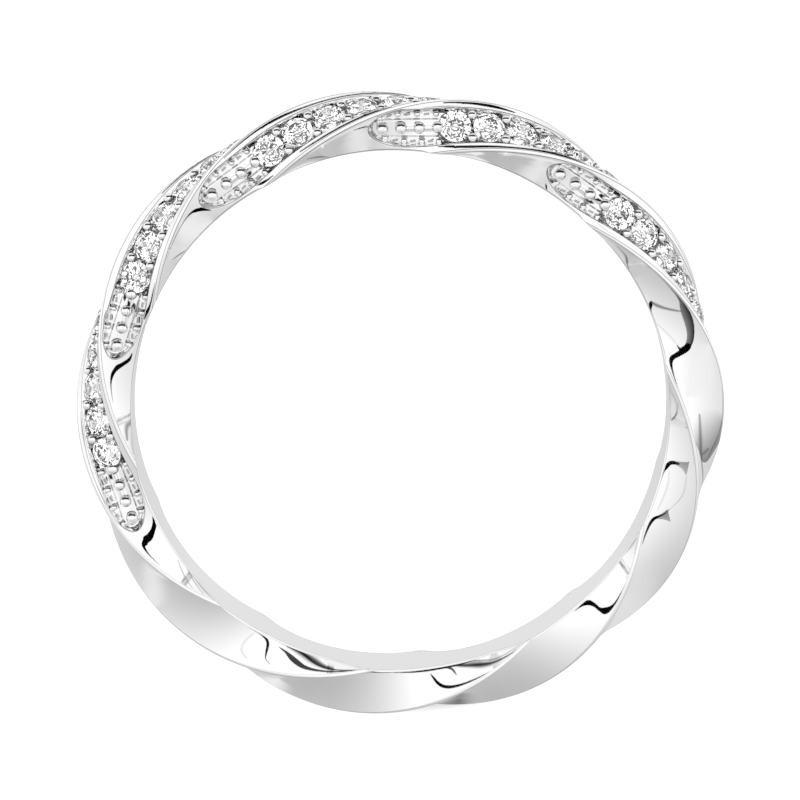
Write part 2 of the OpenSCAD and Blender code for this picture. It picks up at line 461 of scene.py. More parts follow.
# Places from a channel's middle to its mouth, as shares: close together on the ledge's step and the wall
TO_MOUTH = np.concatenate([np.linspace(0, 0.38, 4)[1:], np.linspace(0.38, 0.51, 6)[1:],
                           np.linspace(0.51, 0.70, 3)[1:], np.linspace(0.70, 1, 9)[1:]])
ACROSS = np.concatenate([-TO_MOUTH[::-1], [0.0], TO_MOUTH])
STATIONS = 600
TIP_STATIONS = 8
TIP_REACH = math.radians(2.4)
APART = math.radians(0.2)


def stations(bar):
    """Angles round the ring at which the bar's sections are taken."""
    special = []
    for face in range(FACES):
        special += [bar.face_angle(face) + bar.cut_from, bar.face_angle(face) - bar.cut_from]
    for face in range(CHANNELS):
        for end in (-1, 1):
            tip = bar.face_angle(face) + bar.shift + end * bar.tip
            special += [tip - end * TIP_REACH * (k / TIP_STATIONS) ** 2 for k in range(TIP_STATIONS + 1)]
    special = np.mod(special, 2 * math.pi)
    base = np.arange(STATIONS) * 2 * math.pi / STATIONS
    gap = np.abs(wrapped(base[:, None] - special[None, :])).min(axis=1)
    return np.sort(np.concatenate([special, base[gap > APART]]))


def strip(outline, inner, rim):
    """Points of an outline from its distance inner to its end at distance rim, in rising order."""
    out = 1 if rim > inner else -1
    edge = rim - out * min(ROUND_REACH, ROUND_SHARE * abs(rim - inner))
    flat = at_distances(outline, lengths_along(outline), inner + (edge - inner) * FLAT_PLACES)
    curve = spaced(stretch(outline, *sorted((edge, rim))), ROUND_SEGMENTS)
    return np.vstack([flat, curve[1:]] if out > 0 else [curve[:-1], flat[::-1]])


def face_strips(bar, t, has_channel):
    """A face's lines at angle t from its outward place, in order of side: strip, channel, strip.

    They are worked out for t past zero, and mirrored for t before it.
    """
    sign = 1 if t >= 0 else -1
    t, shift = abs(t), sign * bar.shift
    a = t - shift
    channel = None
    if has_channel and abs(a) < bar.tip + TINY:
        middle, half = bar.bend(a), bar.half_mouth(a)
        left, right = bar.centre + middle - half, bar.centre + middle + half
        outline, hole = bar.cut_outline(t, right)
        side = half * ACROSS
        depth, edge = bar.depth(side, a)
        channel = np.column_stack([side + middle, bar.face - depth, edge])
    else:
        outline, hole = bar.cut_outline(t)
        part = 0.5
        if has_channel:
            tip_outline, _ = bar.cut_outline(bar.tip + shift)
            part = (bar.centre + bar.bend(bar.tip)) / lengths_along(tip_outline)[-1]
        left = right = part * lengths_along(outline)[-1]
    whole = lengths_along(outline)[-1]
    strips = [strip(outline, left, 0.0), channel, strip(outline, right, whole)]
    if sign < 0:
        strips = [None if s is None else s[::-1] * [-1, 1, 1] for s in reversed(strips)]
        hole = None if hole is None else hole * [1, -1, 1]
    return strips, hole


class Patchwork:
    """Grids of points that meet along shared edges and become one mesh."""

    WELD = 4e-8

    def __init__(self):
        self.points, self.quads, self.slots, self.count = [], [], [], 0

    def grid(self, rows, slots=None):
        """Adds rows of [x, y, z, edge] points as quads. slots gives a quad's material by row and column."""
        height, width = len(rows), len(rows[0])
        self.points.extend(rows)
        start = self.count + np.arange((height - 1) * width).reshape(height - 1, width)[:, :-1]
        quads = np.stack([start, start + width, start + width + 1, start + 1], axis=-1).reshape(-1, 4)
        self.quads.extend(quads.tolist())
        self.slots.extend([0] * len(quads) if slots is None else np.ravel(slots).tolist())
        self.count += height * width

    def mesh(self, name, bar=None):
        """One smooth mesh, in metres, with shared points welded and each flat face kept flat."""
        points = np.vstack(self.points)
        mesh = new_mesh(name, (points[:, :3] * MM).tolist(), self.quads)
        mesh.polygons.foreach_set("material_index", self.slots)
        point_values(mesh, "edge", points[:, 3])
        work = bmesh.new()
        work.from_mesh(mesh)
        bmesh.ops.remove_doubles(work, verts=work.verts, dist=self.WELD)
        open_edges = sum(not edge.is_manifold for edge in work.edges)
        work.to_mesh(mesh)
        work.free()
        if open_edges:
            raise RuntimeError(f"{name} has {open_edges} open edges")
        shade_by_area(mesh, bar)
        return mesh


def shade_by_area(mesh, bar=None):
    """Smooth shading whose normals follow the larger faces, so that flat places stay flat."""
    mesh.polygons.foreach_set("use_smooth", [True] * len(mesh.polygons))
    normals = np.zeros((len(mesh.vertices), 3))
    areas = np.empty(len(mesh.polygons))
    facing = np.empty(len(mesh.polygons) * 3)
    mesh.polygons.foreach_get("area", areas)
    mesh.polygons.foreach_get("normal", facing)
    sizes = np.empty(len(mesh.polygons), dtype=np.int64)
    corners = np.empty(len(mesh.loops), dtype=np.int64)
    mesh.polygons.foreach_get("loop_total", sizes)
    mesh.loops.foreach_get("vertex_index", corners)
    weighted = np.repeat(facing.reshape(-1, 3) * areas[:, None], sizes, axis=0)
    np.add.at(normals, corners, weighted)
    normals /= np.maximum(np.linalg.norm(normals, axis=1), 1e-30)[:, None]
    if bar:
        points = np.empty(len(mesh.vertices) * 3)
        mesh.vertices.foreach_get("co", points)
        exact = bar.plain_normals(points.reshape(-1, 3) / MM)
        known = exact.any(axis=1)
        normals[known] = exact[known]
    mesh.normals_split_custom_set_from_vertices(normals.tolist())


FLOOR_EDGE = 0.485


def band_mesh(bar):
    """The twisted bar with its channels and finger hole."""
    work = Patchwork()
    angles = stations(bar)
    edges = [[None, None] for _ in angles]
    for face in range(FACES):
        turns = wrapped(angles - bar.face_angle(face))
        rows = [[], [], []]
        for i in np.argsort(turns):
            t = turns[i]
            if abs(t) > bar.cut_to + TINY:
                continue
            strips, hole = face_strips(bar, t, face < CHANNELS)
            if hole is not None:
                edges[i][0 if t > 0 else 1] = hole
            for strip, kept in zip(strips, rows):
                if strip is not None:
                    kept.append(bar.place(angles[i], bar.section(TURN * t, strip)))
        work.grid(rows[0])
        work.grid(rows[2])
        if rows[1]:
            edge = np.array(rows[1])[:, :, 3]
            middle = (edge[1:, 1:] + edge[1:, :-1] + edge[:-1, 1:] + edge[:-1, :-1]) / 4
            work.grid(rows[1], (middle > FLOOR_EDGE).astype(int))
    hole_rows = []
    for theta, (upper, lower) in zip(angles, edges):
        line = spaced(np.vstack([upper, lower[::-1]]), HOLE_SEGMENTS)
        hole_rows.append(bar.place(theta, line))
    work.grid(hole_rows + hole_rows[:1])
    return work.mesh("twisted_band", bar)


class Number:
    """A number that shader nodes work out: arithmetic on it adds the Math nodes."""

    def __init__(self, recipe, socket):
        self.recipe, self.socket = recipe, socket

    def maths(self, operation, *values):
        return self.recipe.add("ShaderNodeMath", {"operation": operation}, dict(enumerate(values)))

    def __radd__(self, other):
        return self.maths("ADD", other, self)

    def __rsub__(self, other):
        return self.maths("SUBTRACT", other, self)

    def __mul__(self, other):
        return self.maths("MULTIPLY", self, other)

    def __rmul__(self, other):
        return self.maths("MULTIPLY", other, self)


# Outputs of the coordinate node
GENERATED, OBJECT = 0, 3


class Recipe:
    """A material or world built from nodes."""

    def __init__(self, owner):
        owner.use_nodes = True
        self.tree = owner.node_tree
        self.tree.nodes.clear()

    def add(self, kind, settings=None, sockets=None, output=0):
        """Adds a node: first its settings, then the values or links of its sockets."""
        node = self.tree.nodes.new(kind)
        for name, value in (settings or {}).items():
            if name == "stops":
                ramp = node.color_ramp.elements
                while len(ramp) < len(value):
                    ramp.new(1.0)
                for stop, (at, tone) in zip(ramp, value):
                    stop.position, stop.color = at, (*tone, 1.0)
            else:
                setattr(node, name, value)
        for name, value in (sockets or {}).items():
            if isinstance(value, Number):
                self.tree.links.new(value.socket, node.inputs[name])
            else:
                node.inputs[name].default_value = value
        return Number(self, node.outputs[output]) if len(node.outputs) else node

    def mix(self, factor, first, second):
        """A colour between two colours."""
        sockets = {0: factor, 6: first, 7: second}
        return self.add("ShaderNodeMix", {"data_type": "RGBA"}, sockets, output=2)

    def here(self, kind=OBJECT):
        return self.add("ShaderNodeTexCoord", output=kind)

    def along(self, axis, kind=OBJECT):
        """One coordinate of the place: 0, 1 or 2 for X, Y or Z."""
        return self.add("ShaderNodeSeparateXYZ", sockets={"Vector": self.here(kind)}, output=axis)

    def noise(self, scale, detail=2.0):
        """Noise over the object, scale times to a metre."""
        sockets = {"Vector": self.here(), "Scale": scale, "Detail": detail}
        return self.add("ShaderNodeTexNoise", sockets=sockets)

    def attribute(self, name):
        """The number that a mesh keeps for each of its points under a name."""
        return self.add("ShaderNodeAttribute", {"attribute_name": name}, output=2)

    def light(self, tone, strength=1.0):
        """A shader that shines and does nothing else."""
        return self.add("ShaderNodeBsdfPrincipled", sockets={
            "Base Color": shaded(BLACK), "Specular IOR Level": 0.0, "Roughness": 1.0,
            "Emission Color": tone, "Emission Strength": strength})

    def surface(self, shader):
        self.add("ShaderNodeOutputMaterial", sockets={"Surface": shader})


def shaded(tone, level=1.0):
    """A colour with its fourth value, made darker by level."""
    return (*(level * c for c in tone), 1.0)


BLACK, WHITE = (0.0, 0.0, 0.0), (1.0, 1.0, 1.0)
# Edge values between which the painted lines lie: painted dark reflections beside each rounded edge, and
# painted shade on the ledge's step
PAINTED_EDGE_REFLECTIONS = ((0.05, BLACK), (0.09, WHITE), (0.17, WHITE), (0.22, BLACK),
              (0.79, BLACK), (0.84, WHITE), (0.92, WHITE), (0.96, BLACK))
PAINTED_LEDGE_SHADE = ((0.62, BLACK), (0.70, WHITE), (0.80, WHITE), (0.88, BLACK))
# A bead's edge value is 0 at its top and 1 at its foot; painted shade darkens it from near its top down to
# its foot
PAINTED_BEAD_SHADE = ((0.24, BLACK), (0.31, WHITE))
# Places along Y, in metres, between which the painted lines grow from pale to full
LINE_PALE, LINE_FULL = -0.006, 0.008
# Tone of a metal's darker patches, how much finer its relief is than they are, and its height in metres
PATCH_TONE, FINER, RELIEF_HIGH = 0.985, 9, 2e-6


def silver(name, tone, roughness, haze, grain, relief, lines=(), line_tone=1.0, pale=1.0):
    """Silver whose polish varies: haze is the change in roughness, grain its scale per metre.

    lines are the stops, by edge value, of the thin painted lines of line_tone: painted reflections beside
    edges, and painted shade on the ledge's step and on the beads. Towards -Y they are paler.
    """
    material = bpy.data.materials.new(name)
    recipe = Recipe(material)
    patches, fine = recipe.noise(grain, 3.0), recipe.noise(FINER * grain, 4.0)
    bump = recipe.add("ShaderNodeBump", sockets={"Strength": relief, "Distance": RELIEF_HIGH, "Height": fine})
    colour_here = recipe.mix(patches, shaded(tone, PATCH_TONE), shaded(tone))
    if lines:
        # The lines are painted into the base colour as painted reflections and painted shade
        line = recipe.add("ShaderNodeValToRGB", {"stops": lines}, {"Fac": recipe.attribute("edge")})
        full = recipe.add("ShaderNodeMapRange", sockets={
            "Value": recipe.along(1), "From Min": LINE_PALE, "From Max": LINE_FULL, "To Min": pale})
        colour_here = recipe.mix(line * full, colour_here, shaded(tone, line_tone))
    recipe.surface(recipe.add("ShaderNodeBsdfPrincipled", sockets={
        "Base Color": colour_here,
        "Metallic": 1.0,
        "Roughness": roughness + haze * patches,
        "Normal": bump,
    }))
    return material


STONE_CLOUDS = 1800.0


def stone_glass(name, tone, refraction):
    """Clear stone with clouds of the faintest cool tint."""
    material = bpy.data.materials.new(name)
    recipe = Recipe(material)
    recipe.surface(recipe.add("ShaderNodeBsdfPrincipled", sockets={
        "Base Color": recipe.mix(recipe.noise(STONE_CLOUDS), shaded(tone), shaded(WHITE)),
        "Roughness": 0.0,
        "IOR": refraction,
        "Transmission Weight": 1.0,
    }))
    return material


def piece(mesh, slot, materials, *nodes):
    """Links a mesh as a piece that rides on the ring and stands for CAD nodes."""
    thing = new_object(mesh.name, mesh)
    for material in materials:
        mesh.materials.append(material)
    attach(thing, "root")
    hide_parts(*nodes)
    return thing


def copies(name, places, points, faces):
    """One mesh of the same points and faces at each of a list of places."""
    everywhere = [place @ Vector(point) for place in places for point in points]
    starts = range(0, len(everywhere), len(points))
    return new_mesh(name, everywhere, [[start + v for v in face] for start in starts for face in faces])


def ball_mesh(name, places, diameter, around, rings):
    """Balls of one size at a list of places."""
    points, faces = ball(diameter / 2, around, rings)
    mesh = copies(name, places, points, faces)
    mesh.polygons.foreach_set("use_smooth", [True] * len(mesh.polygons))
    # The edge value places the painted shade on each bead's lower part
    point_values(mesh, "edge", [0.5 - point.z / diameter for point in points] * len(places))
    return mesh


POCKET_RIM = 0.03 * MM
POCKET_HIGH = 0.04 * MM
POCKET_ROUGH = 0.3


def pocket_mesh(name, places, long, wide):
    """Small trays: a bright rim round a sunk floor, whose material is the second, a darker silver of painted
    shade.
    """
    loops = ((0, -POCKET_HIGH), (0, POCKET_HIGH), (POCKET_RIM, POCKET_HIGH), (POCKET_RIM, 0))
    corners = ((-1, -1), (1, -1), (1, 1), (-1, 1))
    points = [(x * (long / 2 - inset), y * (wide / 2 - inset), z) for inset, z in loops for x, y in corners]
    faces = [(3, 2, 1, 0)]
    for loop in range(len(loops) - 1):
        for k in range(4):
            a, b = 4 * loop + k, 4 * loop + (k + 1) % 4
            faces.append((a, b, b + 4, a + 4))
    faces.append(tuple(range(4 * (len(loops) - 1), 4 * len(loops))))
    mesh = copies(name, places, points, faces)
    mesh.polygons.foreach_set("material_index", ([0] * (len(faces) - 1) + [1]) * len(places))
    return mesh


# How close to a cut, in millimetres, a corner counts as lying on it
CUT_CLOSE = 1e-5


def cut(work, a, b, c):
    """Cuts a stone along the plane through three points, and keeps the side of the stone's middle."""
    normal = (Vector(b) - Vector(a)).cross(Vector(c) - Vector(a)).normalized()
    if normal.dot(Vector(a)) < 0:
        normal.negate()
    geometry = work.verts[:] + work.edges[:] + work.faces[:]
    done = bmesh.ops.bisect_plane(work, geom=geometry, dist=CUT_CLOSE, plane_co=a, plane_no=normal,
                                  clear_outer=True)
    rim = [g for g in done["geom_cut"] if isinstance(g, bmesh.types.BMEdge)]
    if rim:
        bmesh.ops.contextual_create(work, geom=rim)


GIRDLE_SIDES = 32
STAR_SHARE = 0.55
LOWER_SHARE = 0.23


def brilliant_mesh(name, stones):
    """A round brilliant with 57 facets, cut plane by plane. Its middle is at z = 0, units of 1 mm."""
    radius, table = stones.diameter / MM / 2, stones.diameter / MM / 2 * stones.table
    crown, deep = stones.crown / MM, stones.pavilion / MM
    upper, lower = stones.girdle / MM / 2, -stones.girdle / MM / 2
    top, culet = upper + crown, (0, 0, lower - deep)

    def at(eighths, far, z):
        turn = eighths * math.pi / 4
        return far * math.cos(turn), far * math.sin(turn), z

    star = table + STAR_SHARE * (radius - table)
    star_z = top - crown * (star * math.cos(math.pi / 8) - table) / (radius - table)
    low = LOWER_SHARE * radius
    low_z = lower - deep + deep * low * math.cos(math.pi / 8) / radius
    work = bmesh.new()
    bmesh.ops.create_cone(work, cap_ends=True, segments=GIRDLE_SIDES, radius1=radius, radius2=radius,
                          depth=2 * (crown + deep))
    cut(work, at(0, table, top), at(1, table, top), at(2, table, top))
    for k in range(8):
        cut(work, at(k, table, top), at(k, radius, upper), at(k + 0.5, star, star_z))
        cut(work, at(k, table, top), at(k + 1, table, top), at(k + 0.5, star, star_z))
        cut(work, culet, at(k, radius, lower), at(k + 0.5, low, low_z))
        for side in (k, k + 0.5):
            for rim, far, z in ((upper, star, star_z), (lower, low, low_z)):
                cut(work, at(side, radius, rim), at(side + 0.5, radius, rim), at(k + 0.5, far, z))
    bmesh.ops.recalc_face_normals(work, faces=work.faces)
    bmesh.ops.triangulate(work, faces=work.faces)
    mesh = bpy.data.meshes.new(name)
    work.to_mesh(mesh)
    work.free()
    return mesh


class RING_OT_band(bpy.types.Operator):
    """Builds the twisted bar with its channels"""
    bl_idname = "ring.band"
    bl_label = "Twisted band"

    def execute(self, context):
        finish = context.scene.ring_finish
        # The polished silver carries painted dark reflections along its rounded edges
        polished = silver("polished_silver", finish.silver, finish.polish, haze=0.03, grain=300.0,
                          relief=0.05, lines=PAINTED_EDGE_REFLECTIONS, line_tone=finish.line, pale=finish.pale)
        # The recess silver carries painted shade along the ledge's step
        floor = silver("recess_silver", finish.silver, finish.recess, haze=0.10, grain=900.0, relief=0.25,
                       lines=PAINTED_LEDGE_SHADE, line_tone=finish.painted_ledge_shade)
        piece(band_mesh(Bar(context.scene)), "silver", [polished, floor], "band")
        return {"FINISHED"}


# Room between a channel's mouth and the small beads and pockets beside its middle, in millimetres
FLANK_ROOM = 0.16
# Place of the small bead at a channel's tip, in pitches past the last end bead
TIP_BEAD = 0.72
# A kind of bead, its segments around and from top to foot, and how far above a bead's middle its dark
# bar shows, as a share of its radius
BEADS = (("prong", 20, 14, 0.45), ("end", 24, 16, 0.50), ("flank", 16, 12, 0.45))


def flanks(bar, beads, face, a):
    """Seats on both sides of a channel's middle, beside its walls."""
    far = min(beads.flank_side / MM, bar.half_mouth(a) - FLANK_ROOM)
    return [bar.seat(face, a, bar.bend(a) + side * far, beads.flank_sunk / MM) for side in (-1, 1)]


def bead_seats(scene):
    """Seats of the beads between stones, the end beads, the small beads and the pockets."""
    bar, beads, pitch = Bar(scene), scene.ring_beads, scene.ring_stones.pitch
    sunk, prongs, ends, small, pockets = beads.sunk / MM, [], [], [], []
    for face in range(CHANNELS):
        for gap in range(STONES_EACH - 1):
            a = pitch * (gap + 1 - STONES_EACH / 2)
            prongs += [bar.seat(face, a, side * beads.prong_side / MM, sunk) for side in (-1, 1)]
        for end in (-1, 1):
            for k in range(END_BEADS):
                a = end * (beads.first + k * beads.pitch)
                ends.append(bar.seat(face, a, bar.bend(a), sunk))
                small += flanks(bar, beads, face, a)
                if k < END_BEADS - 1:
                    pockets += flanks(bar, beads, face, a + end * beads.pitch / 2)
            tip = a + end * TIP_BEAD * beads.pitch
            small.append(bar.seat(face, tip, bar.bend(tip), beads.flank_sunk / MM))
    return prongs, ends, small, pockets


class RING_OT_beads(bpy.types.Operator):
    """Raises the beads between the stones, and the beads and pockets along the channels' ends"""
    bl_idname = "ring.beads"
    bl_label = "Beads"

    def execute(self, context):
        beads, finish = context.scene.ring_beads, context.scene.ring_finish
        *seats, pockets = bead_seats(context.scene)
        # The bead silver carries painted shade over each bead's lower part
        metal = silver("bead_silver", finish.silver, finish.polish, haze=0.04, grain=900.0, relief=0.05,
                       lines=PAINTED_BEAD_SHADE, line_tone=finish.painted_bead_shade)
        # The pockets' floors are a darker copy of the silver, as painted shade in the pockets
        dark = silver("pocket_silver", shaded(finish.silver, finish.pocket)[:3], POCKET_ROUGH,
                      haze=0.1, grain=900.0, relief=0.2)
        for places, (kind, around, rings, _) in zip(seats, BEADS):
            mesh = ball_mesh(f"{kind}_beads", places, getattr(beads, kind), around, rings)
            piece(mesh, "silver", [metal], "band")
        trays = pocket_mesh("end_pockets", pockets, beads.pocket, beads.pocket_width)
        piece(trays, "silver", [metal, dark], "band")
        return {"FINISHED"}


class RING_OT_stones(bpy.types.Operator):
    """Cuts and sets the fifty stones"""
    bl_idname = "ring.stones"
    bl_label = "Stones"

    GOLDEN = math.radians(137.5)

    def execute(self, context):
        bar, stones = Bar(context.scene), context.scene.ring_stones
        finish = context.scene.ring_finish
        glass = stone_glass("clear_cut_stone", finish.stone, finish.refraction)
        cut_stone = brilliant_mesh("cut_stone", stones)
        shrink = Matrix.Diagonal((MM, MM, MM, 1.0))
        for face in range(CHANNELS):
            for number in range(STONES_EACH):
                a = stones.pitch * (number - (STONES_EACH - 1) / 2)
                spin = Matrix.Rotation(self.GOLDEN * (face * STONES_EACH + number), 4, "Z")
                mesh = cut_stone.copy()
                mesh.name = f"brilliant_{face + 1}_{number + 1}"
                mesh.transform(bar.seat(face, a, 0.0, stones.sunk / MM) @ spin @ shrink)
                piece(mesh, "clear_stone", [glass], f"stone_{face + 1}_{number + 1}")
        return {"FINISHED"}


FLOOR_SIZE = 2.0
FLOOR_GAP = 0.00002
FLOOR_PATCHES, FLOOR_SHADE = 40.0, 0.98
